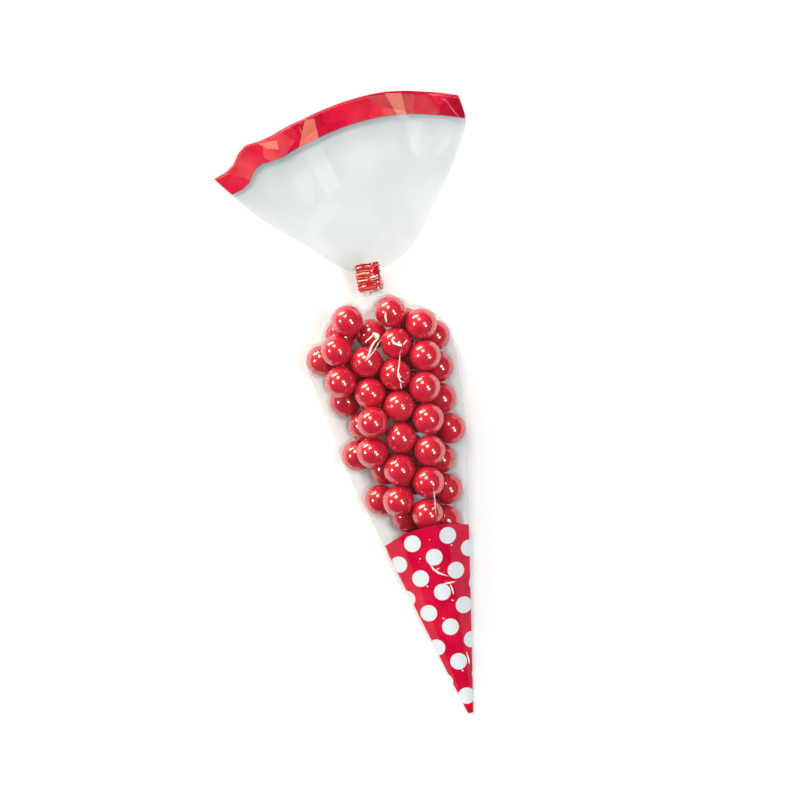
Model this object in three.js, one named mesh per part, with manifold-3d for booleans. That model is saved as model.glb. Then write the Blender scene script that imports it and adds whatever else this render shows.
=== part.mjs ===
// A clear plastic cone bag, filled with glossy red balls and closed with a twist tie.
// It lies on its back. +Y runs from the pointed tip to the open mouth, +X to the right and +Z up.
// Lengths are in millimetres. The film is pulled taut round the balls, so it follows from their places.
import * as THREE from 'three';
import { ConvexHull } from 'three/addons/math/ConvexHull.js';
import { mergeVertices } from 'three/addons/utils/BufferGeometryUtils.js';
import Module from 'manifold-3d';

// The balls
const BALL_DIAMETER = 15.7;
const BALL_GAP = 0.12;
const BALL_DETAIL = 1;

// The film, and how far it stands off the balls inside it
const FILM_WALL = 0.3;
const FILM_CLEARANCE = 0.35;
const TIP_HALF_WIDTH = 1.2;
const TIP_HALF_DEPTH = 0.6;
const RING_POINTS = 28;
const RING_FLATNESS = 2;
const BODY_RINGS = 23;
const RING_CROWDING = 1.5;

// The gathered neck under the tie
const SHOULDER_RISE = 2.4;
const NECK_HALF_WIDTH = 5.5;
const NECK_HALF_DEPTH = 2.8;
const NECK_HEIGHT = 11;
const NECK_PLEATS = 7;
const PLEAT_DEPTH = 0.4;

// The mouth, which fans out above the tie
const MOUTH_LENGTH = 81.3;
const FAN_ANGLE_LEFT = 43.5;
const FAN_ANGLE_RIGHT = 40.5;
const FAN_PUFF_LEFT = 9;
const FAN_PUFF_RIGHT = 30;
const CORNER_REACH_LEFT = 4.5;
const CORNER_REACH_RIGHT = 16;
const FAN_PUFF_DEPTH = 3;
const RIM_HALF_DEPTH = 1.6;
const RIM_WAVE = 1.6;
const RIM_WAVES = 7;
const CORNER_CURL = 9;
const CURL_FROM_SIDE = 0.7;
const CURL_FROM_SHARE = 0.75;
const DROOP_SHARE = 0.85;
const FAN_RINGS = [0.11, 0.18, 0.28, 0.4, 0.54, 0.7];

// The print: red ink at the tip with round windows over white ink, and a red band along the mouth
const PRINT_LENGTH = 95;
const RIM_BAND = 12;
const INK_THICKNESS = 0.2;
const INK_GAP = 0.15;
const DOT_DIAMETER = 8.3;
const DOT_PITCH = 9;
const DOT_SIDES = 10;
const CREASE_STRIP = 0.8;

// The twist tie
const TIE_WIDTH = 2.9;
const TIE_THICKNESS = 0.35;
const TIE_CORE_RISE = 0.55;
const TIE_PITCH = 3.2;
const TIE_TURNS = 3.6;
const TIE_START = -60;
const TIE_CLEARANCE = 0.3;
const TIE_STEPS = 12;

// Where the balls lie, in ball diameters from the tip: [across, along, level].
// Level 0 lies on the side that the bag rests on, and level 1 in the hollows above it.
const LAYER_RISE = 0.8;
const BALL_PLACES = [
  // single file in the tip
  [0.03, 3.66, 0], [-0.19, 4.62, 0], [0.38, 5.45, 0],
  // along the right-hand edge
  [0.66, 6.35, 0], [0.8, 7.24, 0], [0.97, 8.13, 0], [1.2, 9.04, 0], [1.33, 9.96, 0], [1.46, 10.92, 0],
  [1.61, 11.83, 0],
  // along the left-hand edge
  [-0.66, 5.75, 0], [-0.69, 6.6, 0], [-0.99, 7.41, 0], [-1, 8.13, 0], [-1.36, 8.91, 0], [-1.31, 9.62, 0.4],
  [-1.54, 10.54, 0], [-1.94, 12.04, 0], [-0.43, 12.5, 0.3],
  // hidden under the upper layer
  [0.02, 7.83, 0], [0.2, 8.73, 0], [0.42, 9.64, 0], [0.55, 10.56, 0], [0.69, 11.52, 0],
  [0.83, 12.43, 0], [-0.38, 10.25, 0], [-0.24, 11.21, 0], [-1.11, 11.43, 0],
  [-1.18, 12.58, 0],
  // the upper layer, column by column from the right
  [0.18, 6.68, 1], [0.36, 7.6, 1], [0.55, 8.56, 1], [0.74, 9.49, 1], [0.9, 10.45, 1], [1.13, 11.43, 1],
  [1.22, 12.36, 1],
  [-0.63, 7.35, 1], [-0.38, 8.21, 1], [-0.15, 9.06, 1], [0.03, 10.04, 1], [0.18, 11.04, 1],
  [0.37, 11.89, 0.85], [0.43, 12.87, 1],
  [-1.05, 8.87, 1], [-0.95, 9.76, 1], [-0.76, 10.68, 1], [-0.67, 11.65, 1],
  [-1.55, 11.36, 0.9], [-1.39, 12.32, 0.8], [-1.06, 12.92, 1.1],
];
const SETTLE_PASSES = 400;
const SETTLE_PULL = 0.15;
const PULL_FADE = 1.5;
const UPPER_PULL = 0.3;
const EASE_PASSES = 12;

// How far the flattened edges of the film stand out, in ball diameters: [along, left, right]
const SIDE_CREASES = [
  [6.05, 1.1, 1.13], [9.87, 2.1, 1.9], [11.34, 2.36, 2.17], [12.1, 2.46, 2.19], [12.55, 2.31, 1.94],
  [13.06, 1.87, 1.37], [13.38, 1.46, 0.92], [13.52, 0.83, 0.32],
];

const COLOURS = {
  film: 0xe6ecec, ball: 0xd20a30, red: 0xd8062c, white: 0xf6f4f2, tie: 0xc8102e,
};

const wasm = await Module();
wasm.setup();

const ballRadius = BALL_DIAMETER / 2;
const inkStack = 2 * (INK_THICKNESS + INK_GAP);
const radians = THREE.MathUtils.degToRad;
const lerp = THREE.MathUtils.lerp;
const smoothstep = THREE.MathUtils.smoothstep;
const turns = Array.from({ length: RING_POINTS }, (_, i) => (2 * Math.PI * i) / RING_POINTS);

// How far the film's inside stands off a ball: more where ink lies between them.
function standOff(along) {
  const printed = along - ballRadius < PRINT_LENGTH;
  return FILM_CLEARANCE + (printed ? inkStack : 0);
}

// Pushes the balls apart until none overlap, while a fading pull keeps each near its own place.
function settleBalls() {
  const aims = BALL_PLACES.map(([across, along, level]) => new THREE.Vector3(
    across * BALL_DIAMETER,
    along * BALL_DIAMETER,
    FILM_WALL + ballRadius + standOff(along * BALL_DIAMETER) + level * LAYER_RISE * BALL_DIAMETER,
  ));
  const balls = aims.map((aim) => aim.clone());
  const apart = BALL_DIAMETER + BALL_GAP;
  const push = new THREE.Vector3();
  for (let pass = 0; pass < SETTLE_PASSES; pass += 1) {
    const pull = SETTLE_PULL * Math.max(0, 1 - (PULL_FADE * pass) / SETTLE_PASSES);
    balls.forEach((ball, i) => {
      ball.x = lerp(ball.x, aims[i].x, pull);
      ball.y = lerp(ball.y, aims[i].y, pull);
      ball.z = lerp(ball.z, aims[i].z, BALL_PLACES[i][2] > 0 ? pull * UPPER_PULL : pull);
      for (const other of balls.slice(i + 1)) {
        push.subVectors(other, ball);
        const overlap = apart - push.length();
        if (overlap > 0) {
          push.setLength(overlap / 2);
          ball.sub(push);
          other.add(push);
        }
      }
    });
    balls.forEach((ball) => {
      ball.z = Math.max(ball.z, FILM_WALL + ballRadius + standOff(ball.y));
    });
  }
  return balls;
}

const balls = settleBalls();
const fillTop = Math.max(...balls.map((ball) => ball.y)) + ballRadius;
const neckStart = fillTop + SHOULDER_RISE;
const tieLength = TIE_TURNS * TIE_PITCH + TIE_WIDTH;
const neckEnd = neckStart + tieLength + 2 * TIE_CLEARANCE;
const fanCentre = neckEnd - NECK_HALF_WIDTH;
const fanReach = MOUTH_LENGTH + NECK_HALF_WIDTH;
const tipHeight = FILM_WALL + TIP_HALF_DEPTH;

// The line from the tip to the neck, which the rings of the body are spread round.
function axisHeight(along) {
  return lerp(tipHeight, NECK_HEIGHT, along / neckStart);
}

function ovalPoints(along, height, halfWidth, halfDepth) {
  return turns.map((turn) => new THREE.Vector3(
    halfWidth * Math.cos(turn),
    along,
    height + halfDepth * Math.sin(turn),
  ));
}

// The film's inside is the tight wrap round the balls, the tip, the side creases and the neck.
function wrapHull() {
  const sphere = new THREE.SphereGeometry(1, 16, 10);
  sphere.rotateX(Math.PI / 2);
  const directions = mergeVertices(stripToPosition(sphere)).getAttribute('position');
  const points = [];
  for (const ball of balls) {
    const radius = ballRadius + standOff(ball.y);
    for (let i = 0; i < directions.count; i += 1) {
      points.push(new THREE.Vector3().fromBufferAttribute(directions, i).multiplyScalar(radius).add(ball));
    }
  }
  for (const [along, left, right] of SIDE_CREASES) {
    const y = Math.min(along * BALL_DIAMETER, neckStart);
    points.push(new THREE.Vector3(-left * BALL_DIAMETER, y, axisHeight(y)));
    points.push(new THREE.Vector3(right * BALL_DIAMETER, y, axisHeight(y)));
  }
  points.push(...ovalPoints(-FILM_WALL, tipHeight, TIP_HALF_WIDTH, TIP_HALF_DEPTH));
  points.push(...ovalPoints(neckStart + FILM_WALL, NECK_HEIGHT, NECK_HALF_WIDTH, NECK_HALF_DEPTH));
  return new ConvexHull().setFromPoints(points).faces.map((face) => ({
    normal: face.normal.clone(),
    constant: face.constant,
  }));
}

function stripToPosition(geometry) {
  geometry.deleteAttribute('normal');
  geometry.deleteAttribute('uv');
  return geometry;
}

const wrap = wrapHull();

// How far the wrap, moved out by the offset, lies from a point inside it.
function castReach(from, direction, offset) {
  let reach = Infinity;
  for (const { normal, constant } of wrap) {
    const facing = normal.dot(direction);
    if (facing > Number.EPSILON) {
      reach = Math.min(reach, (constant + offset - normal.dot(from)) / facing);
    }
  }
  return reach;
}

// One ring of the body: points on the film's inside, each with its way outwards for a 1 mm step.
function bodyRing(along) {
  const centre = new THREE.Vector3(0, along, axisHeight(along));
  return turns.map((turn) => {
    const direction = new THREE.Vector3(RING_FLATNESS * Math.cos(turn), 0, Math.sin(turn)).normalize();
    const reach = castReach(centre, direction, 0);
    const step = castReach(centre, direction, 1) - reach;
    return {
      inside: centre.clone().addScaledVector(direction, reach),
      outward: direction.multiplyScalar(step),
    };
  });
}

function facetsBetween(ring, nextRing) {
  return turns.flatMap((_, i) => {
    const next = (i + 1) % RING_POINTS;
    return [[ring[i], nextRing[i], nextRing[next]], [ring[i], nextRing[next], ring[next]]];
  });
}

// A flat facet between two rings can cut across a ball, so each is moved out until it clears them all.
function easeOffBalls(rings) {
  const triangle = new THREE.Triangle();
  const nearest = new THREE.Vector3();
  const away = new THREE.Vector3();
  const facets = rings.slice(1).flatMap((ring, i) => facetsBetween(rings[i], ring));
  for (let pass = 0; pass < EASE_PASSES; pass += 1) {
    for (const facet of facets) {
      triangle.set(...facet.map((corner) => corner.inside));
      for (const ball of balls) {
        triangle.closestPointToPoint(ball, nearest);
        const shortfall = ballRadius + standOff(ball.y) - nearest.distanceTo(ball);
        if (shortfall > 0) {
          away.subVectors(nearest, ball).setLength(shortfall);
          facet.forEach((corner) => corner.inside.add(away));
          triangle.set(...facet.map((corner) => corner.inside));
        }
      }
    }
  }
  rings.flat().forEach((point) => {
    point.inside.z = Math.max(point.inside.z, FILM_WALL);
  });
  return rings;
}

// Gathers pull the film in between the crests that touch the tie.
function pleat(turn, depth) {
  return 1 - depth * (0.5 - 0.5 * Math.cos(NECK_PLEATS * turn));
}

function neckRing(along, inset) {
  return turns.map((turn) => {
    const fold = pleat(turn, PLEAT_DEPTH);
    return new THREE.Vector3(
      (NECK_HALF_WIDTH * fold - inset) * Math.cos(turn),
      along,
      NECK_HEIGHT + (NECK_HALF_DEPTH * fold - inset) * Math.sin(turn),
    );
  });
}

// One ring of the mouth: share runs from 0 at the neck to 1 at the rim.
function fanRing(share, inset) {
  return turns.map((turn) => {
    const side = Math.cos(turn);
    const right = side > 0;
    const corner = (right ? CORNER_REACH_RIGHT : CORNER_REACH_LEFT) * Math.abs(side);
    const reach = share * (fanReach + corner);
    const rimAngle = right ? FAN_ANGLE_RIGHT : FAN_ANGLE_LEFT;
    const puff = (right ? FAN_PUFF_RIGHT : FAN_PUFF_LEFT) * (1 - share);
    const angle = side * (radians(rimAngle + puff) - inset / reach);
    const depth = lerp(NECK_HALF_DEPTH, RIM_HALF_DEPTH, share) + FAN_PUFF_DEPTH * Math.sin(Math.PI * share);
    const wave = RIM_WAVE * share ** 2 * Math.sin(RIM_WAVES * angle);
    const curl = CORNER_CURL * smoothstep(side, CURL_FROM_SIDE, 1) * smoothstep(share, CURL_FROM_SHARE, 1);
    const droop = lerp(NECK_HEIGHT, RIM_HALF_DEPTH + RIM_WAVE, smoothstep(share, 0, DROOP_SHARE));
    const middle = Math.max(droop + wave, depth) + curl;
    return new THREE.Vector3(
      reach * Math.sin(angle),
      fanCentre + reach * Math.cos(angle),
      middle + (depth * pleat(turn, PLEAT_DEPTH * (1 - share)) - inset) * Math.sin(turn),
    );
  });
}

// A wall between two stacks of rings, closed across the first rings and joined at the last.
// Without a first cap, it is a band that is open at both ends.
function shellGeometry(outer, inner, capped) {
  const positions = [...outer, ...inner].flat().flatMap((point) => point.toArray());
  const index = [];
  const count = RING_POINTS;
  const quad = (a, b, c, d) => index.push(a, b, c, a, c, d);
  const wall = (rings, start, flip) => {
    for (let ring = 0; ring + 1 < rings; ring += 1) {
      for (let i = 0; i < count; i += 1) {
        const low = start + ring * count;
        const next = (i + 1) % count;
        const sides = [low + count + i, low + next];
        const [left, right] = flip ? sides.reverse() : sides;
        index.push(low + i, left, low + count + next, low + i, low + count + next, right);
      }
    }
  };
  const innerStart = outer.length * count;
  wall(outer.length, 0, false);
  wall(inner.length, innerStart, true);
  for (let i = 0; i < count; i += 1) {
    const next = (i + 1) % count;
    const outerTop = innerStart - count;
    const innerTop = innerStart + (inner.length - 1) * count;
    quad(outerTop + i, innerTop + i, innerTop + next, outerTop + next);
    if (!capped) {
      quad(i, next, innerStart + next, innerStart + i);
    } else if (i > 0 && next > 0) {
      index.push(0, i, next);
      index.push(innerStart, innerStart + next, innerStart + i);
    }
  }
  const geometry = new THREE.BufferGeometry();
  geometry.setAttribute('position', new THREE.Float32BufferAttribute(positions, 3));
  geometry.setIndex(index);
  geometry.computeVertexNormals();
  return geometry;
}

// Ring places along the body: wide apart at the tip, and close together round the shoulders.
function bodyStations() {
  const places = Array.from({ length: BODY_RINGS }, (_, i) => {
    const left = 1 - i / (BODY_RINGS - 1);
    return neckStart * (1 - left ** RING_CROWDING);
  });
  const offPrint = places.map((along) => Math.abs(along - PRINT_LENGTH));
  places[offPrint.indexOf(Math.min(...offPrint))] = PRINT_LENGTH;
  return places;
}

const stations = bodyStations();
const bodyRings = easeOffBalls(stations.slice(0, -1).map(bodyRing));

// The same rings, moved out by the offset, or in where it is negative.
function offsetRings(rings, offset) {
  const moved = ({ inside, outward }) => inside.clone().addScaledVector(outward, offset);
  return rings.map((ring) => ring.map(moved));
}

const bandShare = 1 - RIM_BAND / fanReach;
const bandShares = [bandShare, (1 + bandShare) / 2, 1];

function filmGeometry() {
  const neckStations = [neckStart + TIE_CLEARANCE, (neckStart + neckEnd) / 2, neckEnd];
  const fanShares = [...FAN_RINGS.filter((share) => share < bandShare), ...bandShares];
  const rings = (outside) => [
    ...offsetRings(bodyRings.slice(outside ? 0 : 1), outside ? FILM_WALL : 0),
    ...neckStations.map((along) => neckRing(along, outside ? 0 : FILM_WALL)),
    ...fanShares.map((share) => fanRing(share, outside ? 0 : FILM_WALL)),
  ];
  return shellGeometry(rings(true), rings(false), true);
}

// A skin of ink that lies inside the film, at a depth below the film's inner face.
function tipInk(depth) {
  const inked = bodyRings.filter((_, i) => i > 1 && stations[i] <= PRINT_LENGTH);
  const outer = offsetRings(inked, -depth);
  const inner = offsetRings(inked, -depth - INK_THICKNESS);
  return shellGeometry(outer, inner, false);
}

function toManifold(geometry) {
  const mesh = mergeVertices(stripToPosition(geometry.clone()));
  return new wasm.Manifold(new wasm.Mesh({
    numProp: 3,
    vertProperties: new Float32Array(mesh.getAttribute('position').array),
    triVerts: new Uint32Array(mesh.getIndex().array),
  }));
}

function toGeometry(solid) {
  const mesh = solid.getMesh();
  const geometry = new THREE.BufferGeometry();
  geometry.setAttribute('position', new THREE.BufferAttribute(mesh.vertProperties, 3));
  geometry.setIndex(new THREE.BufferAttribute(mesh.triVerts, 1));
  geometry.computeVertexNormals();
  return geometry;
}

// The polka dots stand on a staggered lattice, cut through the front and the back of the red ink.
function dotCutters() {
  const cutters = [];
  const depth = BALL_DIAMETER * 2;
  const firstRow = Math.ceil((stations[2] + DOT_DIAMETER / 2) / DOT_PITCH);
  for (let row = firstRow; row * DOT_PITCH < PRINT_LENGTH; row += 1) {
    const along = row * DOT_PITCH;
    const halfWidth = bodyRing(along)[0].inside.x;
    for (let column = -row; column <= row; column += 1) {
      const across = column * DOT_PITCH;
      const staggered = (row + column) % 2 !== 0;
      const reached = Math.abs(across) - DOT_DIAMETER / 2 < halfWidth - CREASE_STRIP;
      if (staggered && reached) {
        for (const face of [1, -1]) {
          const cutter = new THREE.CylinderGeometry(DOT_DIAMETER / 2, DOT_DIAMETER / 2, depth, DOT_SIDES);
          cutter.rotateX(Math.PI / 2);
          cutter.translate(across, along, axisHeight(along) + face * (CREASE_STRIP + depth / 2));
          cutters.push(toManifold(cutter));
        }
      }
    }
  }
  return wasm.Manifold.union(cutters);
}

function rimInk() {
  const depth = FILM_WALL + INK_GAP;
  const outer = bandShares.map((share) => fanRing(share, depth));
  const inner = bandShares.map((share) => fanRing(share, depth + INK_THICKNESS));
  return shellGeometry(outer, inner, false);
}

// A flat ribbon with a wire core along its middle, wound up the neck.
function tieGeometry() {
  const half = TIE_WIDTH / 2;
  const core = TIE_WIDTH / 6;
  const top = TIE_THICKNESS;
  const ridge = TIE_THICKNESS + TIE_CORE_RISE;
  const section = [[-half, 0], [half, 0], [half, top], [core, ridge], [-core, ridge], [-half, top]];
  const steps = Math.round(TIE_TURNS * TIE_STEPS);
  const chordRoom = 1 / Math.cos(Math.PI / TIE_STEPS);
  const first = neckStart + TIE_CLEARANCE + half;
  const positions = [];
  for (let step = 0; step <= steps; step += 1) {
    const turn = radians(TIE_START) + (2 * Math.PI * TIE_TURNS * step) / steps;
    for (const [sideways, rise] of section) {
      const stand = TIE_CLEARANCE + rise;
      positions.push(
        (NECK_HALF_WIDTH + stand) * chordRoom * Math.cos(turn),
        first + (TIE_TURNS * TIE_PITCH * step) / steps + sideways,
        NECK_HEIGHT + (NECK_HALF_DEPTH + stand) * chordRoom * Math.sin(turn),
      );
    }
  }
  return ribbonGeometry(positions, section.length, steps);
}

function ribbonGeometry(positions, sides, steps) {
  const index = [];
  for (let step = 0; step < steps; step += 1) {
    for (let i = 0; i < sides; i += 1) {
      const a = step * sides + i;
      const b = step * sides + ((i + 1) % sides);
      index.push(a, b + sides, b, a, a + sides, b + sides);
    }
  }
  const last = steps * sides;
  for (let i = 1; i + 1 < sides; i += 1) {
    index.push(0, i, i + 1);
    index.push(last, last + i + 1, last + i);
  }
  const geometry = new THREE.BufferGeometry();
  geometry.setAttribute('position', new THREE.Float32BufferAttribute(positions, 3));
  geometry.setIndex(index);
  geometry.computeVertexNormals();
  return geometry;
}

function addPiece(group, name, geometry, look) {
  const mesh = new THREE.Mesh(geometry, new THREE.MeshStandardMaterial(look));
  mesh.name = name;
  group.add(mesh);
  return mesh;
}

const redInk = toGeometry(toManifold(tipInk(INK_GAP)).subtract(dotCutters()));
const whiteInk = tipInk(2 * INK_GAP + INK_THICKNESS);

const bag = new THREE.Group();
const film = addPiece(bag, 'bag_film', filmGeometry(), {
  color: COLOURS.film, roughness: 0.12, metalness: 0, transparent: true, opacity: 0.3,
});
addPiece(bag, 'tip_print_red', redInk, { color: COLOURS.red, roughness: 0.25, metalness: 0 });
addPiece(bag, 'tip_print_white', whiteInk, { color: COLOURS.white, roughness: 0.3, metalness: 0 });
addPiece(bag, 'rim_print', rimInk(), { color: COLOURS.red, roughness: 0.25, metalness: 0 });
addPiece(bag, 'twist_tie', tieGeometry(), { color: COLOURS.tie, roughness: 0.2, metalness: 0 });
balls.forEach((place, i) => {
  const name = `ball_${String(i + 1).padStart(2, '0')}`;
  const sphere = new THREE.IcosahedronGeometry(ballRadius, BALL_DETAIL);
  const ball = addPiece(bag, name, sphere, { color: COLOURS.ball, roughness: 0.08, metalness: 0 });
  ball.position.copy(place);
});

// The origin is under the middle of the bag, on the surface that it lies on.
const box = new THREE.Box3().setFromObject(film);
const middle = box.getCenter(new THREE.Vector3());
bag.position.set(-middle.x, -middle.y, -box.min.z);

export default bag;
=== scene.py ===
"""A clear cone bag filled with glossy balls and tied shut under its fanned mouth.

The bag lies on its back and is seen from straight above. +Y runs from the pointed tip to the mouth.
Shapes are worked out in millimetres from the tip, and become metres when their mesh is made.
"""

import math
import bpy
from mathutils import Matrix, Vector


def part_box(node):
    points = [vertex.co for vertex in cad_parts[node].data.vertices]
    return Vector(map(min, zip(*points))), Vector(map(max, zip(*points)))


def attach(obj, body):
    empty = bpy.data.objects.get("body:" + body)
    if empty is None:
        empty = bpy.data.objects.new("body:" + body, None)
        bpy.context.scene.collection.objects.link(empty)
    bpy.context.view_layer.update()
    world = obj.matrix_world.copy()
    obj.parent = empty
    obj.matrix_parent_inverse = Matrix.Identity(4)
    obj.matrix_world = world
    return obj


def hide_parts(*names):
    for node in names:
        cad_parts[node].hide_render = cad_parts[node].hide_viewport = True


bl_info = {
    "name": "Filled Cone Bag",
    "version": (1, 0, 0),
    "blender": (4, 5, 0),
    "location": "View3D > Sidebar > Cone Bag",
    "description": "Makes a clear cone bag, its balls, its twist tie and a plain studio",
    "category": "Object",
}

import bmesh
import bpy
import numpy as np
from mathutils import Matrix, Vector
from mathutils.bvhtree import BVHTree

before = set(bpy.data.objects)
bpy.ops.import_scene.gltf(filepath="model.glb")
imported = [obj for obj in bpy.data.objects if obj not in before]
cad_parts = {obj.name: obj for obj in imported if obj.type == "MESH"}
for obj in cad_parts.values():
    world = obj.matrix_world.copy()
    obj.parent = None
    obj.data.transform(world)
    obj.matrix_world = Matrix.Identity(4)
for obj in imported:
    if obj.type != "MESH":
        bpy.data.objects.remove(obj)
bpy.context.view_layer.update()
MM = 0.001

BALL_NODES = sorted(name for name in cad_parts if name.startswith("ball_"))
FILM_NODES = ["bag_film", "tip_print_red", "tip_print_white", "rim_print"]


def tip_of_film():
    """The middle of the film's pointed end, which the bag's own axis starts from."""
    low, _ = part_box("bag_film")
    points = [v.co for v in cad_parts["bag_film"].data.vertices if v.co.y < low.y + 0.0002]
    return sum(p.x for p in points) / len(points), low.y


TIP_X, TIP_Y = tip_of_film()


def node_radius(name):
    low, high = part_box(name)
    return (high.x - low.x) / 2


BALL_RADIUS = node_radius(BALL_NODES[0]) / MM


def to_frame(points):
    """Points in millimetres from the tip, as metres in the shared frame."""
    return np.asarray(points, float) * MM + np.array([TIP_X, TIP_Y, 0.0])


def from_tip(point):
    return ((point.x - TIP_X) / MM, (point.y - TIP_Y) / MM, point.z / MM)


def ball_centres():
    """Where the balls lie, in millimetres from the tip."""
    centres = []
    for name in BALL_NODES:
        low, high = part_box(name)
        centres.append(from_tip((low + high) / 2))
    return np.array(centres)


def metres(name, description, default, least=0.00001):
    return bpy.props.FloatProperty(
        name=name, description=description, default=default, min=least, unit="LENGTH"
    )


def tint(name, description, default):
    return bpy.props.FloatVectorProperty(
        name=name, description=description, default=default, min=0.0, max=1.0, subtype="COLOR"
    )


def seed_number(description, default):
    return bpy.props.IntProperty(name="Seed", description=description, default=default, min=0)


class BallSettings(bpy.types.PropertyGroup):
    radius: metres("Radius", "Radius of one ball", BALL_RADIUS * MM, 0.001)
    colour: tint("Shell colour", "Colour of the sugar shell", (0.61, 0.001, 0.036))
    seed: seed_number("Picks how the balls are turned", 4)


class FilmSettings(bpy.types.PropertyGroup):
    thickness: metres("Film thickness", "Thickness of the film's wall", 0.0001)
    stand_off: metres("Stand off", "Gap between the film and the balls that it is pulled round", 0.00035)
    ink: tint("Ink colour", "Colour of the tip and of the band along the mouth", (0.57, 0.003, 0.04))
    dot_ink: tint("Dot colour", "Colour of the dots on the tip", (0.66, 0.71, 0.74))
    print_length: metres("Print length", "How far the print reaches up from the tip", 0.0966)
    dot_diameter: metres("Dot diameter", "Diameter of one dot", 0.0083)
    dot_pitch: metres("Dot pitch", "Half the way from one dot to the next in its row", 0.009)
    band_width: metres("Band width", "Width of the band along the mouth", 0.012)
    seed: seed_number("Picks the film's small folds", 7)


class TieSettings(bpy.types.PropertyGroup):
    width: metres("Ribbon width", "Width of the tie's ribbon", 0.0038)
    pitch: metres("Pitch", "How far one turn climbs", 0.0032)
    colour: tint("Foil colour", "Colour of the ribbon", (0.5, 0.003, 0.018))


class StageSettings(bpy.types.PropertyGroup):
    picture_width: metres("Picture width", "How much of the table the picture spans", 0.4)
    lean: bpy.props.FloatProperty(
        name="Lean",
        description="How far the bag leans to the left in the picture",
        default=math.radians(13.2),
        subtype="ANGLE",
    )
    floor_colour: tint("Floor colour", "Colour of the table", (0.88, 0.92, 0.94))


class Value:
    """One output socket of a material, so that sums on it read as ordinary Python."""

    def __init__(self, tree, socket):
        self.tree = tree
        self.socket = socket

    def maths(self, operation, *values):
        node = add_node(self.tree, "ShaderNodeMath", {"operation": operation})
        for socket, value in zip(node.inputs, values):
            feed(self.tree, socket, value)
        return out(self.tree, node)

    def __add__(self, other):
        return self.maths("ADD", self, other)

    def __radd__(self, other):
        return self.maths("ADD", other, self)

    def __sub__(self, other):
        return self.maths("SUBTRACT", self, other)

    def __rsub__(self, other):
        return self.maths("SUBTRACT", other, self)

    def __mul__(self, other):
        return self.maths("MULTIPLY", self, other)

    def __rmul__(self, other):
        return self.maths("MULTIPLY", other, self)

    def __pow__(self, other):
        return self.maths("POWER", self, other)

    def __rpow__(self, other):
        return self.maths("POWER", other, self)

    def __abs__(self):
        return self.maths("ABSOLUTE", self)

    def least(self, other):
        return self.maths("MINIMUM", self, other)

    def most(self, other):
        return self.maths("MAXIMUM", self, other)

    def wrapped(self, period):
        """The remainder after whole periods, from 0 up, also for values below 0."""
        return self.maths("FLOORED_MODULO", self, period)

    def ramp(self, start, end):
        """0 at the start and 1 at the end, with a soft turn at both."""
        soft = {"interpolation_type": "SMOOTHSTEP"}
        node = add_node(self.tree, "ShaderNodeMapRange", soft, Value=self, From_Min=start, From_Max=end)
        return out(self.tree, node, "Result")


def feed(tree, socket, value):
    """Links a value to a socket, or sets the socket to a number or a colour."""
    if isinstance(value, Value):
        tree.links.new(value.socket, socket)
    else:
        socket.default_value = value


def add_node(tree, kind, settings=None, **inputs):
    """Adds a node, sets it up and feeds its sockets by name, with _ for a space."""
    node = tree.nodes.new(kind)
    for name, value in (settings or {}).items():
        setattr(node, name, value)
    for name, value in inputs.items():
        feed(tree, node.inputs[name.replace("_", " ")], value)
    return node


def out(tree, node, name=0):
    """A node's output, ready for sums."""
    return Value(tree, node.outputs[name])


# Where a Mix node keeps its factor, two colours and result, which share their names with other sockets.
MIX_FACTOR, MIX_LOW, MIX_HIGH, MIX_RESULT = 0, 6, 7, 2


def blend_colours(tree, factor, low, high):
    """One colour where the factor is 0, and the other where it is 1."""
    node = add_node(tree, "ShaderNodeMix", {"data_type": "RGBA"})
    feed(tree, node.inputs[MIX_FACTOR], factor)
    for place, colour in ((MIX_LOW, low), (MIX_HIGH, high)):
        feed(tree, node.inputs[place], colour if isinstance(colour, Value) else (*colour, 1.0))
    return out(tree, node, MIX_RESULT)


def new_material(name):
    material = bpy.data.materials.new(name)
    material.use_nodes = True
    tree = material.node_tree
    return material, tree, tree.nodes["Principled BSDF"]


def set_finish(tree, shader, finish):
    """Sets the shader's sockets, each by its name."""
    for name, value in finish.items():
        feed(tree, shader.inputs[name], value)


def object_position(tree):
    return out(tree, add_node(tree, "ShaderNodeTexCoord"), "Object")


def read_attribute(tree, name):
    return out(tree, add_node(tree, "ShaderNodeAttribute", {"attribute_name": name}), "Fac")


def read_layout(tree, name):
    """Across and along a piece's own flat lay-out."""
    flat = out(tree, add_node(tree, "ShaderNodeUVMap", {"uv_map": name}), "UV")
    parts = add_node(tree, "ShaderNodeSeparateXYZ", Vector=flat)
    return out(tree, parts, "X"), out(tree, parts, "Y")


def noise(tree, vector, scale, detail=2.0, distortion=0.0):
    """Soft chance blotches, so many to the metre."""
    node = add_node(
        tree, "ShaderNodeTexNoise", Vector=vector, Scale=scale, Detail=detail, Distortion=distortion
    )
    return out(tree, node, "Fac")


def bump(tree, height, distance=1.0, strength=1.0):
    """The surface's lean where a height in metres, times the distance, stands up from it."""
    node = add_node(tree, "ShaderNodeBump", Height=height, Distance=distance, Strength=strength)
    return out(tree, node, "Normal")


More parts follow.
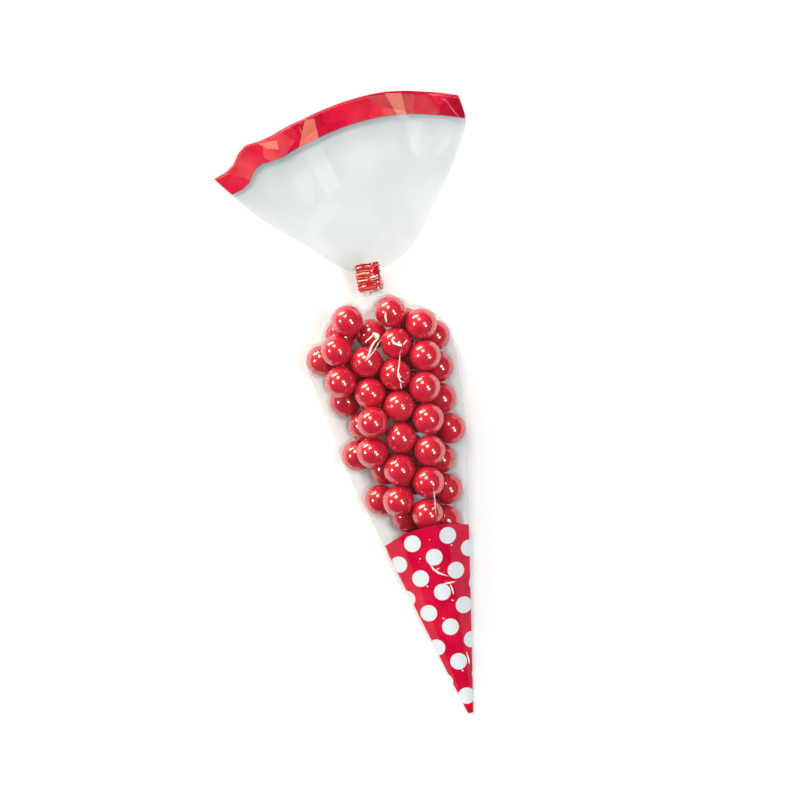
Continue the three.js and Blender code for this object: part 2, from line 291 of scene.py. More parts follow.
def shell_material(colour):
    """A polished sugar shell: faintly mottled, with a soft haze under a hard gloss."""
    material, tree, shader = new_material("polished_shell")
    place = object_position(tree)
    mottle = noise(tree, place, 160.0, detail=4.0)
    speckle = noise(tree, place, 1400.0, detail=2.0)
    shade = (mottle * 0.7 + speckle * 0.3).ramp(0.35, 0.65)
    deep = tuple(c * 0.9 for c in colour)
    light = (min(1.0, colour[0] * 1.08), colour[1] * 1.6, colour[2] * 1.1)
    set_finish(tree, shader, {
        "Base Color": blend_colours(tree, shade, deep, light),
        "Roughness": 0.4 + speckle * 0.1,
        "Specular IOR Level": 0.9,
        "Specular Tint": (1.0, 0.42, 0.16, 1.0),
        "Coat Weight": 1.0,
        "Coat Roughness": 0.025,
        "Coat IOR": 1.95,
        "Normal": bump(tree, mottle * 0.8 + speckle * 0.06, 0.00025),
    })
    return material


# How softly the ink's, the dots' and the painted reflection patches' edges fade, in metres.
INK_BLUR = 0.00012
DOT_BLUR = 0.0001
FACET_BLUR_OUT, FACET_BLUR_IN = 0.0002, 0.0003
# Where the dots stop below the print's top edge, in metres from the tip.
DOTS_END = 0.0945
# How much lower the print's top edge is at the sides, in metres for each square metre off the axis.
TIP_EDGE_BOW = 9.8


def dot_mask(across, along, pitch, diameter):
    """1 inside the dots of a staggered lattice."""
    period = 2 * pitch

    def distance(x, y):
        return (x * x + y * y) ** 0.5

    def off_centre(value):
        return abs(value.wrapped(period) - pitch)

    even = distance(off_centre(across), off_centre(along + pitch))
    odd = distance(off_centre(across + pitch), off_centre(along))
    return 1 - even.least(odd).ramp(diameter / 2 - DOT_BLUR, diameter / 2 + DOT_BLUR)


def painted_patch_mask(tree, place, corners):
    """1 inside a convex patch of the film, seen from above."""
    parts = add_node(tree, "ShaderNodeSeparateXYZ", Vector=place)
    x, y = out(tree, parts, "X"), out(tree, parts, "Y")
    points = to_frame([(*corner, 0.0) for corner in corners])[:, :2]
    middle = points.mean(axis=0)
    inside = None
    for start, end in zip(points, np.roll(points, -1, axis=0)):
        normal = np.array([start[1] - end[1], end[0] - start[0]]) / np.linalg.norm(end - start)
        if normal @ (middle - start) < 0:
            normal = -normal
        depth = x * float(normal[0]) + y * float(normal[1]) - float(normal @ start)
        inside = depth if inside is None else inside.least(depth)
    return inside.ramp(-FACET_BLUR_OUT, FACET_BLUR_IN)


def crumpled(tree, place, scale, tilt):
    """The height of a film broken into flat patches, each leaning its own way."""
    drift = add_node(tree, "ShaderNodeTexNoise", Vector=place, Scale=scale * 0.8, Detail=1.0)
    nudged = add_node(tree, "ShaderNodeVectorMath", {"operation": "MULTIPLY_ADD"})
    for socket, value in zip(nudged.inputs, (out(tree, drift, "Color"), (0.012, 0.012, 0.0), place)):
        feed(tree, socket, value)
    cells = add_node(tree, "ShaderNodeTexVoronoi", Vector=out(tree, nudged), Scale=scale)
    lean = add_node(tree, "ShaderNodeSeparateColor", Color=out(tree, cells, "Color"))
    spot = add_node(tree, "ShaderNodeSeparateXYZ", Vector=place)
    across = (out(tree, lean, "Red") - 0.5) * out(tree, spot, "X")
    along = (out(tree, lean, "Green") - 0.5) * out(tree, spot, "Y")
    return (across + along) * tilt


def tip_and_body(tree, settings, haze_and_sheen, red):
    """The body's film, clear over the balls and milky beside them, where the milky white is partly painted
    light that lifts the shade under it, with a painted cream highlight along its creases and the dotted
    print at its tip.
    """
    across, along = read_layout(tree, "FlatFilm")
    print_edge = settings.print_length
    bowed = along + across * across * TIP_EDGE_BOW
    printed = 1 - bowed.ramp(print_edge - INK_BLUR, print_edge + INK_BLUR)
    dots = dot_mask(across, along, settings.dot_pitch, settings.dot_diameter)
    dots = dots * (1 - along.ramp(DOTS_END, DOTS_END + INK_BLUR))
    slack = read_attribute(tree, "slack")
    broken = noise(tree, object_position(tree), 900.0)
    # The creases' share: it thickens the film's cover and blends in a painted cream highlight that stands
    # in for the lamps' glints along them.
    painted_glint_cover = (read_attribute(tree, "crease") * (0.7 + broken * 0.6)).ramp(0.3, 0.75)
    return {
        "printed": printed,
        "inked": blend_colours(tree, dots, red, tuple(settings.dot_ink)),
        # Milky white beside the balls: partly the film's milkiness, partly painted light that lifts the
        # shade under the film there.
        "clear": blend_colours(tree, slack, (0.06, 0.09, 0.085), (0.82, 0.9, 0.9)),
        "coverage": 0.02 + slack * (0.13 + haze_and_sheen * 0.02),
        "painted_glint_cover": painted_glint_cover,
        "painted_highlight_share": painted_glint_cover,
        # Painted cream highlight colour along the creases.
        "painted_highlight": (1.0, 0.93, 0.82),
    }


def fanned_mouth(tree, settings, haze_and_sheen, red, rim_at):
    """The mouth's loose film, with faint folds, lamp reflections painted on flat patches and along its
    lines, and the printed band along its rim, with painted salmon reflections.
    """
    _, along = read_layout(tree, "FlatFilm")
    band_edge = rim_at - settings.band_width
    printed = along.ramp(band_edge - INK_BLUR, band_edge + INK_BLUR)
    place = object_position(tree)
    # Lamp reflections are painted along the mouth's lines and on its flat patches, and the milky blotches
    # add a faint painted sheen too.
    lines = read_attribute(tree, "crease").ramp(0.1, 0.7)
    painted_facet_glare = haze_and_sheen * 0.25
    for strength, corners in PAINTED_REFLECTIONS:
        painted_facet_glare = painted_facet_glare.most(painted_patch_mask(tree, place, corners) * strength)
    # Painted salmon reflections on the printed band.
    painted_ink_glints = painted_facet_glare.ramp(0.3, 0.9).most(lines) * (0.4 + haze_and_sheen * 0.2)
    return {
        "printed": printed,
        "inked": red,
        "clear": blend_colours(tree, haze_and_sheen, (0.17, 0.25, 0.28), (0.2, 0.28, 0.32)),
        "coverage": 0.078,
        "painted_glint_cover": lines * 0.035 + painted_ink_glints * printed,
        # How much of the painted reflection colour shows.
        "painted_highlight_share": (painted_facet_glare * 0.45 + lines * 0.9).least(1.0) * (1 - printed) + painted_ink_glints * printed,
        # Painted reflection colours: bluish white on the clear film and salmon on the band.
        "painted_highlight": blend_colours(tree, printed, (0.85, 0.95, 1.0), (0.86, 0.33, 0.23)),
    }


def film_material(settings, rim_at, at_mouth):
    """Thin clear film, with the print on it read from the film's own flat lay-out."""
    material, tree, shader = new_material("mouth_film" if at_mouth else "body_film")
    place = object_position(tree)
    # Milky blotches in the film, which in the mouth also raise the painted reflections.
    haze_and_sheen = noise(tree, place, 34.0, detail=3.0, distortion=0.8).ramp(0.42, 0.72)
    density = noise(tree, place, 90.0, detail=3.0)
    ink = tuple(c * (0.84 if at_mouth else 1.0) for c in settings.ink)
    ink_deep = tuple(c * 0.88 for c in ink)
    ink_light = (ink[0] * 1.06, ink[1] * 2.5, ink[2] * 1.05)
    red = blend_colours(tree, density.ramp(0.35, 0.7), ink_deep, ink_light)
    relief = noise(tree, place, 150.0, detail=0.0, distortion=0.6) * 0.00012
    if at_mouth:
        look = fanned_mouth(tree, settings, haze_and_sheen, red, rim_at)
        relief = relief + crumpled(tree, place, 62.0, 0.75)
    else:
        look = tip_and_body(tree, settings, haze_and_sheen, red)
    printed = look["printed"]
    lit = blend_colours(tree, printed, look["clear"], look["inked"])
    graze = out(tree, add_node(tree, "ShaderNodeLayerWeight", Blend=0.5), "Facing") ** 4.0
    clear_alpha = look["coverage"] + graze * 0.1 + look["painted_glint_cover"] * 0.9
    set_finish(tree, shader, {
        # Toward the painted highlight colour along the creases and on the mouth's painted reflections.
        "Base Color": blend_colours(tree, look["painted_highlight_share"], lit, look["painted_highlight"]),
        "Alpha": clear_alpha.most(printed),
        "Roughness": 0.2 + printed * 0.04 + haze_and_sheen * 0.06,
        "Specular IOR Level": 0.2 if at_mouth else 0.0,
        "Specular Tint": (1.0, 0.8, 0.55, 1.0),
        "Coat Weight": 0.25,
        "Coat Roughness": 0.06,
        "Normal": bump(tree, relief),
    })
    return material


def foil_material(colour):
    """The tie's shiny ribbon, with long creases round the neck, painted shade low along them and a painted
    cream highlight high along them.
    """
    material, tree, shader = new_material("red_foil_ribbon")
    flat = out(tree, add_node(tree, "ShaderNodeUVMap", {"uv_map": "Ribbon"}), "UV")
    stretched = add_node(tree, "ShaderNodeMapping", Vector=flat, Scale=(200.0, 900.0, 1.0))
    creases_and_painted_sheen = noise(tree, out(tree, stretched, "Vector"), 1.0, detail=3.0)
    worn = noise(tree, object_position(tree), 420.0, detail=3.0)
    # Darker and lighter colour along the long marks that also raise the ribbon: painted shade where they
    # sink and a painted cream highlight where they rise.
    deep = tuple(c * 0.7 for c in colour)
    light = (min(1.0, colour[0] * 1.3), colour[1] * 8, colour[2] * 1.5)
    set_finish(tree, shader, {
        "Base Color": blend_colours(tree, creases_and_painted_sheen.ramp(0.35, 0.65), deep, light),
        "Roughness": 0.08 + worn * 0.14,
        "Specular IOR Level": 0.8,
        "Specular Tint": (1.0, 0.85, 0.6, 1.0),
        "Coat Weight": 1.0,
        "Coat Roughness": 0.05,
        "Coat IOR": 2.1,
        "Normal": bump(tree, creases_and_painted_sheen * 0.7 + worn * 0.5, 0.0005, 0.7),
    })
    return material


def table_material(colour):
    """A matt, nearly even table top."""
    material, tree, shader = new_material("pale_table")
    grain = noise(tree, object_position(tree), 3.0)
    low = tuple(c * 0.99 for c in colour)
    set_finish(tree, shader, {
        "Base Color": blend_colours(tree, grain, low, tuple(colour)),
        "Roughness": 0.9,
        "Specular IOR Level": 0.1,
    })
    return material


def balls_tree(material):
    """Stands one smooth ball on each point, turned by chance, as one mesh."""
    tree = bpy.data.node_groups.new("BallsOnPoints", "GeometryNodeTree")
    face = tree.interface
    face.new_socket("Geometry", in_out="INPUT", socket_type="NodeSocketGeometry")
    for name, kind in (("Radius", "Float"), ("Detail", "Int"), ("Seed", "Int")):
        face.new_socket(name, in_out="INPUT", socket_type="NodeSocket" + kind)
    face.new_socket("Geometry", in_out="OUTPUT", socket_type="NodeSocketGeometry")

    def made(node, name="Geometry"):
        return out(tree, node, name)

    start = add_node(tree, "NodeGroupInput")
    radius, detail, seed = (made(start, name) for name in ("Radius", "Detail", "Seed"))
    sphere = add_node(tree, "GeometryNodeMeshIcoSphere", Radius=radius, Subdivisions=detail)
    smooth = add_node(tree, "GeometryNodeSetShadeSmooth", Geometry=made(sphere, "Mesh"))
    full_turns = (math.tau, math.tau, math.tau)
    way = {"data_type": "FLOAT_VECTOR"}
    turn = add_node(tree, "FunctionNodeRandomValue", way, Max=full_turns, Seed=seed)
    place = add_node(
        tree, "GeometryNodeInstanceOnPoints", Points=made(start), Instance=made(smooth),
        Rotation=made(turn, "Value"),
    )
    realise = add_node(tree, "GeometryNodeRealizeInstances", Geometry=made(place, "Instances"))
    paint = add_node(tree, "GeometryNodeSetMaterial", Geometry=made(realise), Material=material)
    add_node(tree, "NodeGroupOutput", Geometry=made(paint))
    return tree


def set_input(modifier, name, value):
    """A modifier's inputs are known by their sockets' identifiers."""
    for item in modifier.node_group.interface.items_tree:
        if item.name == name and item.in_out == "INPUT":
            modifier[item.identifier] = value
            return
    raise RuntimeError(f"no input is named {name}")


def new_object(name, mesh):
    piece = bpy.data.objects.new(name, mesh)
    bpy.context.scene.collection.objects.link(piece)
    return piece


def bake_modifiers(piece):
    """Turns a piece with modifiers into a plain mesh."""
    graph = bpy.context.evaluated_depsgraph_get()
    mesh = bpy.data.meshes.new_from_object(piece.evaluated_get(graph))
    piece.modifiers.clear()
    piece.data = mesh
    return piece


# How finely each ball is divided.
BALL_DETAIL = 4


def make_balls(settings):
    """The balls, as one piece."""
    mesh = bpy.data.meshes.new("balls")
    mesh.from_pydata(to_frame(ball_centres()).tolist(), [], [])
    piece = new_object("balls", mesh)
    modifier = piece.modifiers.new("Balls", "NODES")
    modifier.node_group = balls_tree(shell_material(tuple(settings.colour)))
    set_input(modifier, "Radius", settings.radius)
    set_input(modifier, "Detail", BALL_DETAIL)
    set_input(modifier, "Seed", settings.seed)
    bake_modifiers(piece)
    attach(piece, "root")
    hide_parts(*BALL_NODES)
    return piece


# The film's counts, and its lengths in millimetres.
FRONT_COLUMNS = 108
BACK_COLUMNS = 44
BODY_ROWS = 150
NECK_ROWS = 5
FAN_ROWS = 56
RING_FLATNESS = 2.0
TIP_HALF_WIDTH = 1.2
TIP_HALF_DEPTH = 0.6
NECK_HALF_WIDTH = 5.4
NECK_HALF_DEPTH = 2.7
NECK_PLEATS = 9
PLEAT_DEPTH = 0.42
SHOULDER_PLEATS = 26.0
SHOULDER_PLEAT_DEPTH = 0.3
MOUTH_LENGTH = 81.3
MOUTH_PUFF = 3.0
MOUTH_START = 0.09
RIM_HALF_DEPTH = 0.7
# How far the neck reaches past the tie, below it and above.
NECK_BELOW_TIE, NECK_ABOVE_TIE = 0.6, 0.4
# The film's least height over the table, at the tip, at the rim, and underneath and on top in the mouth.
TIP_GAP, RIM_GAP = 0.2, 0.7
MOUTH_GAP, MOUTH_SPREAD = 0.25, 0.6
# How far the tight skin reaches past the tip and the neck, and how finely its balls are divided.
SKIN_REACH = 0.3
SKIN_DETAIL = 4
# The body's rings crowd together a little towards the neck.
ROW_CROWDING = 1.15
# The mouth's corners curl up: how high, and from which share across and along.
CURL_RISE, CURL_ACROSS, CURL_ALONG = 6.0, 0.72, 0.75
# The lay-out is unrolled where the wall is this steep.
STEEP_FROM, STEEP_OVER = 0.88, 0.11
# The film keeps this far off the balls.
BALL_GAP = 0.25
# The film's front ends this turn before its side edges.
EDGE_TURN = 0.15
# How high a crease stands, how far round it the film is finely divided, and into how many cuts.
CREASE_RISE = 0.5
CREASE_REACH = 1.2
CREASE_CUTS = 3
# Beside the balls, seen from above, the film turns from clear to milky, and the milky white is partly
# painted light that lifts the shade under it: from where to where.
SLACK_FROM, SLACK_TO = 0.0, 1.6
# Beside means that the balls this near, in ball radii, lie to one side by this share.
SLACK_REACH = 2.2
ONE_SIDED_FROM, ONE_SIDED_OVER = 0.35, 0.25

# How far the flattened side edges stand out from the axis, in millimetres: along, left, right.
SIDE_EDGES = [
    (95.0, 17.3, 17.7), (155.0, 33.0, 29.8), (178.0, 37.0, 34.1), (190.0, 37.2, 34.4), (197.0, 36.2, 30.5),
    (205.0, 29.3, 21.5), (210.0, 22.9, 14.4), (212.3, 13.0, 5.6),
]

# The mouth's side edges and its rim, measured round the middle of the gather.
# The edges are in degrees from the axis at a share of the way out, and the rim is its reach at an angle.
LEFT_EDGE = [
    (0.0, 75.0), (0.116, 62.7), (0.187, 58.0), (0.316, 51.2), (0.49, 49.7), (0.68, 48.7), (0.886, 45.7),
    (1.0, 44.6),
]
RIGHT_EDGE = [
    (0.0, 80.0), (0.153, 74.7), (0.23, 71.5), (0.327, 63.4), (0.471, 55.9), (0.69, 50.4), (0.879, 46.3),
    (0.932, 44.2), (1.0, 39.7),
]
RIM_REACH = [
    (-44.6, 91.3), (-41.0, 88.4), (-37.1, 87.6), (-33.5, 89.6), (-30.0, 89.9), (-26.0, 87.0), (-21.5, 85.4),
    (-9.0, 85.2), (0.0, 86.8), (9.4, 89.5), (17.4, 92.4), (30.0, 96.6), (39.7, 101.0),
]

# Creases that stand up from the film and catch the light, with a cream highlight also painted along them:
# how strong, how wide, and where they run, in millimetres from the tip.
CREASES = [
    (0.9, 0.39, [(-3.7, 197.6), (-4.6, 195.1), (-8.5, 193.1), (-9.1, 192.1)]),
    (1.0, 0.55, [(-0.9, 193.7), (-4.3, 192.1), (-6.6, 189.7), (-8.5, 186.6), (-11.3, 183.7)]),
    (0.8, 0.35, [(1.7, 193.7), (-2.0, 191.6), (-6.0, 187.2), (-9.6, 184.5), (-11.3, 183.4)]),
    (1.0, 1.01, [(-3.3, 196.2), (-2.3, 194.6), (-3.4, 193.2)]),
    (0.5, 0.35, [(0.8, 192.4), (1.7, 193.7), (5.0, 193.5), (8.0, 193.7)]),
    (1.0, 0.62, [(3.9, 191.4), (4.8, 189.1), (8.4, 186.6)]),
    (0.9, 0.35, [(8.4, 186.6), (12.1, 189.8)]),
    (0.9, 0.39, [(8.4, 186.6), (6.4, 183.1), (5.1, 178.6), (3.7, 175.4), (3.0, 172.6), (3.6, 170.1),
                 (4.9, 169.2), (5.9, 169.9)]),
    (0.8, 0.35, [(3.5, 170.1), (3.1, 165.5)]),
    (0.8, 0.55, [(4.4, 206.1), (3.7, 202.7), (3.6, 199.1)]),
    (0.8, 0.35, [(7.7, 116.3), (7.2, 112.7), (6.5, 107.6), (5.9, 104.6), (5.6, 98.9)]),
    (0.8, 0.47, [(5.8, 105.6), (4.1, 104.2)]),
    (1.0, 0.43, [(-2.7, 78.2), (-1.6, 75.2), (0.5, 72.7), (4.6, 70.1)]),
    (0.8, 0.35, [(-0.6, 74.8), (1.9, 75.2)]),
    (0.9, 0.39, [(5.3, 74.0), (6.7, 73.2)]),
    (1.0, 0.47, [(1.2, 66.9), (7.2, 66.6)]),
    (0.9, 0.39, [(4.5, 66.2), (5.0, 63.7), (5.0, 60.5)]),
    (0.9, 0.39, [(4.6, 30.8), (4.9, 26.6), (4.6, 24.1)]),
    (0.7, 0.35, [(57.7, 302.8), (60.7, 296.0), (64.2, 289.2)]),
    (0.6, 0.35, [(55.9, 303.8), (59.3, 300.9)]),
    (0.42, 0.45, [(29.1, 271.0), (23.7, 265.2), (20.4, 258.9), (20.1, 253.7), (23.8, 246.6),
                  (25.5, 242.7)]),
    (0.36, 0.45, [(43.1, 280.1), (31.9, 273.8), (26.4, 269.0)]),
    (0.42, 0.5, [(-15.3, 276.3), (-8.0, 270.0), (-0.7, 259.5)]),
    (0.36, 0.5, [(-0.7, 259.5), (-14.0, 259.0), (-22.6, 252.3)]),
    (0.34, 0.45, [(9.4, 290.7), (7.6, 281.4)]),
    (0.36, 0.45, [(12.8, 282.8), (12.9, 266.1)]),
    (0.5, 0.5, [(47.4, 272.1), (50.6, 270.6), (46.9, 267.9)]),
    (0.36, 0.5, [(36.4, 288.0), (37.6, 278.0), (40.8, 287.0)]),
    (0.34, 0.45, [(-8.0, 245.5), (-4.0, 248.0), (-1.0, 244.0), (-4.5, 240.8)]),
    (0.6, 0.47, [(-19.9, 295.9), (-19.3, 291.7), (-20.4, 289.4)]),
    (0.7, 0.47, [(-16.5, 306.4), (-15.8, 300.6), (-18.4, 296.1)]),
    (0.7, 0.3, [(-0.4, 90.5), (0.0, 89.7)]),
    (0.8, 0.35, [(-7.4, 82.2), (-6.6, 81.5)]),
    (0.6, 0.3, [(-8.2, 80.6), (-7.4, 80.2)]),
    (0.8, 0.35, [(9.2, 85.3), (9.9, 84.4)]),
    (0.8, 0.35, [(-6.8, 68.0), (-6.2, 66.9)]),
    (0.8, 0.35, [(-3.0, 50.4), (-1.8, 49.4)]),
    (0.8, 0.35, [(0.3, 22.6), (1.3, 21.5)]),
    (0.8, 0.4, [(3.4, 58.1), (4.6, 57.4)]),
]

# Flat patches of the mouth where a reflection of the lamps is painted on: how strong, and their corners,
# likewise.
PAINTED_REFLECTIONS = [
    (1.0, [(-13.3, 308.5), (-8.3, 308.6), (-8.3, 296.5), (-19.2, 295.9)]),
    (1.0, [(28.8, 312.7), (37.1, 311.0), (37.5, 297.5), (33.2, 298.6)]),
    (0.8, [(-39.2, 302.8), (-29.3, 302.1), (-29.0, 297.0), (-35.1, 299.2)]),
    (0.55, [(-19.2, 295.9), (-8.3, 296.5), (-2.9, 271.3), (-11.1, 270.2)]),
    (0.45, [(36.1, 297.6), (45.0, 294.5), (36.1, 279.1)]),
    (0.4, [(44.4, 276.7), (60.8, 288.8), (48.6, 275.2)]),
    (0.3, [(-2.4, 230.6), (21.0, 251.9), (22.9, 235.0), (9.6, 226.8)]),
    (0.3, [(-24.6, 258.5), (-11.1, 270.2), (-3.6, 260.7), (-22.8, 250.8)]),
]


def columns():
    """The turns round the film, from its right edge over the front to the left and back underneath."""
    front = np.linspace(0.0, math.pi, FRONT_COLUMNS, endpoint=False)
    back = np.linspace(math.pi, math.tau, BACK_COLUMNS, endpoint=False)
    return np.concatenate([front, back])


class BagShape:
    """The lengths that the film's rings are worked out from, in millimetres from the tip."""

    def __init__(self, settings):
        self.turns = columns()
        self.balls = ball_centres()
        self.stand_off = settings.stand_off / MM
        self.chance = np.random.default_rng(settings.seed)
        tie_low, tie_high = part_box("twist_tie")
        self.neck_start = from_tip(tie_low)[1] - NECK_BELOW_TIE
        self.neck_end = from_tip(tie_high)[1] + NECK_ABOVE_TIE
        self.neck_height = from_tip((tie_low + tie_high) / 2)[2]
        self.fan_centre = self.neck_end - NECK_HALF_WIDTH
        self.tip_height = TIP_HALF_DEPTH + TIP_GAP
        self.tree = self.wrap()
        self.folds = self.mouth_folds()

    def axis_height(self, along):
        """How high the bag's axis lies."""
        return np.interp(along, [0.0, self.neck_start], [self.tip_height, self.neck_height])

    def oval(self, along, height, half_width, half_depth):
        """A ring round the axis, where the half width and depth may vary from turn to turn."""
        x = half_width * np.cos(self.turns)
        z = height + half_depth * np.sin(self.turns)
        return np.column_stack([x, np.full_like(x, along), z])

    def wrap(self):
        """The tight skin round the balls, the tip, the side edges and the neck."""
        ball = bmesh.new()
        bmesh.ops.create_icosphere(ball, subdivisions=SKIN_DETAIL, radius=1.0)
        directions = np.array([v.co for v in ball.verts])
        ball.free()
        clouds = [centre + directions * (BALL_RADIUS + self.stand_off) for centre in self.balls]
        for along, left, right in SIDE_EDGES:
            height = self.axis_height(along)
            clouds.append(np.array([(-left, along, height), (right, along, height)]))
        clouds.append(self.oval(-SKIN_REACH, self.tip_height, TIP_HALF_WIDTH, TIP_HALF_DEPTH))
        past_neck = self.neck_start + SKIN_REACH
        clouds.append(self.oval(past_neck, self.neck_height, NECK_HALF_WIDTH, NECK_HALF_DEPTH))
        hull = bmesh.new()
        for point in np.concatenate(clouds):
            hull.verts.new(point)
        bmesh.ops.convex_hull(hull, input=hull.verts)
        tree = BVHTree.FromBMesh(hull)
        hull.free()
        return tree

    def body_ring(self, along):
        """One ring of the body, cast from the axis onto the tight skin."""
        centre = Vector((0.0, along, float(self.axis_height(along))))
        ring = []
        for turn in self.turns:
            way = Vector((RING_FLATNESS * math.cos(turn), 0.0, math.sin(turn))).normalized()
            hit, _, _, _ = self.tree.ray_cast(centre, way)
            if hit is None:
                raise RuntimeError(f"the film has no wall at {along:.1f} mm")
            ring.append(hit)
        return self.gathered(np.array(ring), centre, along)

    def gathered(self, ring, centre, along):
        """Draws the shoulder into pleats towards the neck."""
        near = np.clip(1 - (self.neck_start - along) / SHOULDER_PLEATS, 0.0, 1.0) ** 2
        if near == 0.0:
            return ring
        pull = 1 - near * SHOULDER_PLEAT_DEPTH * self.pleats(self.turns)
        middle = np.array(centre)
        return middle + (ring - middle) * pull[:, None]

    def pleats(self, turn):
        """How deep each pleat is, from 0 on a crest to 1 in a valley."""
        wave = np.cos(NECK_PLEATS * turn + 0.9 * np.sin(2 * turn + 0.4))
        return 0.5 - 0.5 * wave

    def neck_ring(self, along):
        """One pleated ring under the tie."""
        fold = 1 - PLEAT_DEPTH * self.pleats(self.turns)
        return self.oval(along, self.neck_height, NECK_HALF_WIDTH * fold, NECK_HALF_DEPTH * fold)

    def mouth_folds(self):
        """Chance waves that run out from the gather: how many, their phase, height and drift."""
        rows = []
        for count in (3, 5, 8, 13, 21, 34):
            phase, drift = self.chance.uniform(0, math.tau), self.chance.uniform(-1.5, 1.5)
            rows.append((count, phase, 2.6 / count, drift))
        return rows

    def fold_height(self, angle, share, front):
        """The mouth's folds: close and sharp by the gather, wide and soft at the rim."""
        height = np.zeros_like(angle)
        for count, phase, size, drift in self.folds:
            shift = phase + (0.0 if front else 2.1) + drift * share
            sharp = min(1.0, 10.0 * share / count if count < 10 else 1.2 * (1 - share) + 0.15)
            height += size * sharp * np.arcsin(np.sin(count * angle * 2.2 + shift)) * 2 / math.pi
        return height * np.sin(math.pi * min(1.0, 0.12 + 0.8 * share))

    def fan_ring(self, share):
        """One ring of the mouth, from 0 at the gather to 1 at the rim."""
        side, top = np.cos(self.turns), np.sin(self.turns)
        right = side > 0
        left_edge = np.interp(share, *zip(*LEFT_EDGE))
        right_edge = np.interp(share, *zip(*RIGHT_EDGE))
        rim_angle = np.where(right, side * RIGHT_EDGE[-1][1], side * LEFT_EDGE[-1][1])
        angle = np.radians(np.where(right, side * right_edge, side * left_edge))
        reach = share * np.interp(rim_angle, *zip(*RIM_REACH))
        depth = np.interp(share, [0, 1], [NECK_HALF_DEPTH, RIM_HALF_DEPTH])
        depth = depth + MOUTH_PUFF * math.sin(math.pi * share)
        droop = min(1.0, 1.25 * (share * share * (3 - 2 * share)))
        middle = self.neck_height + (RIM_HALF_DEPTH + RIM_GAP - self.neck_height) * droop
        folds = np.where(
            top >= 0, self.fold_height(angle, share, True), self.fold_height(angle, share, False)
        )
        corner = np.clip((side - CURL_ACROSS) / (1 - CURL_ACROSS), 0, 1) ** 2
        curl = CURL_RISE * corner * np.clip((share - CURL_ALONG) / (1 - CURL_ALONG), 0, 1) ** 2
        pleat = 1 - PLEAT_DEPTH * (1 - share) ** 3 * self.pleats(self.turns)
        z = middle + depth * pleat * top + folds * np.abs(top) ** 0.5 + curl
        z = np.maximum(z, MOUTH_GAP + MOUTH_SPREAD * (top + 1))
        return np.column_stack([reach * np.sin(angle), self.fan_centre + reach * np.cos(angle), z])

    def laid_out(self, ring):
        """How far across the flat film each point lies, measured each way from the middle of the front.

        It is taken as seen from above, and unrolled where the wall is steep.
        """
        quarter = FRONT_COLUMNS // 2
        back = BACK_COLUMNS // 2
        closed = np.vstack([ring, ring[:1]])
        step = np.diff(closed, axis=0)
        plain = np.abs(step[:, 0])
        full = np.maximum(np.hypot(step[:, 0], step[:, 2]), 1e-9)
        steep = np.clip((np.abs(step[:, 2]) / full - STEEP_FROM) / STEEP_OVER, 0.0, 1.0)
        length = plain + (full - plain) * steep
        across = np.empty(len(ring))
        middle = ring[quarter, 0]
        right = middle + np.concatenate([np.cumsum(length[:quarter][::-1])[::-1], [0.0]])
        left = middle - np.concatenate([[0.0], np.cumsum(length[quarter:FRONT_COLUMNS])])
        across[: quarter + 1] = right
        across[quarter : FRONT_COLUMNS + 1] = left
        bottom = FRONT_COLUMNS + back
        under_left = np.cumsum(length[FRONT_COLUMNS:bottom])
        across[FRONT_COLUMNS + 1 : bottom + 1] = left[-1] * (1 - under_left / under_left[-1])
        under_right = np.cumsum(length[bottom:][::-1])
        across[bottom + 1 :] = right[0] * (1 - under_right / under_right[-1])[::-1][1:]
        return across

    def rings(self):
        """All the film's rings from the tip to the rim, each with its place in the flat lay-out."""
        made = []
        share = np.linspace(0.0, 1.0, BODY_ROWS)
        for along in self.neck_start * (1 - (1 - share[:-1]) ** ROW_CROWDING):
            ring = self.body_ring(along)
            made.append((ring, np.column_stack([self.laid_out(ring), ring[:, 1]])))
        for along in np.linspace(self.neck_start, self.neck_end, NECK_ROWS):
            ring = self.neck_ring(along)
            made.append((ring, ring[:, :2]))
        rim = self.neck_end + MOUTH_LENGTH
        edge = self.fan_ring(1.0)
        for share in np.linspace(MOUTH_START, 1.0, FAN_ROWS):
            ring = self.fan_ring(share)
            left = np.hypot(*(edge - ring)[:, :2].T)
            made.append((ring, np.column_stack([ring[:, 0], rim - left])))
        return made, rim


def ease_off_balls(points, balls, clearance):
    """Moves each point of the film out where it would lie in a ball."""
    for centre in balls:
        away = points - centre
        distance = np.linalg.norm(away, axis=1)
        close = distance < clearance
        if close.any():
            points[close] = centre + away[close] * (clearance / distance[close])[:, None]
    return points


def slackness(points, balls):
    """From 0 where the film lies over the balls to 1 where it stands free of them, seen from above."""
    away = points[:, None, :2] - balls[None, :, :2]
    distance = np.linalg.norm(away, axis=2)
    gap = distance.min(axis=1) - BALL_RADIUS
    near = distance < SLACK_REACH * BALL_RADIUS
    ways = np.where(near[..., None], away / distance[..., None], 0.0).sum(axis=1)
    count = near.sum(axis=1)
    one_sided = np.where(count > 0, np.linalg.norm(ways, axis=1) / np.maximum(count, 1), 1.0)
    beside = np.clip((one_sided - ONE_SIDED_FROM) / ONE_SIDED_OVER, 0.0, 1.0)
    return beside * np.clip((gap - SLACK_FROM) / (SLACK_TO - SLACK_FROM), 0.0, 1.0)


def near_line(points, line):
    """The distance of each point from a line of corners, seen from above, and how far along it lies."""
    best = np.full(len(points), np.inf)
    share = np.zeros(len(points))
    steps = len(line) - 1
    for i in range(steps):
        a, b = np.array(line[i]), np.array(line[i + 1])
        way = b - a
        t = np.clip(((points - a) @ way) / (way @ way), 0, 1)
        distance = np.linalg.norm(points - a - t[:, None] * way, axis=1)
        closer = distance < best
        best[closer] = distance[closer]
        share[closer] = (i + t[closer]) / steps
    return best, share


def crease_height(points):
    """How strong the creases are at each point, from 0 to 1."""
    height = np.zeros(len(points))
    for strength, width, line in CREASES:
        distance, share = near_line(points, line)
        taper = np.sin(math.pi * np.clip(0.12 + 0.76 * share, 0, 1)) ** 0.6
        height = np.maximum(height, strength * taper * np.exp(-((distance / (width * taper)) ** 2)))
    return height


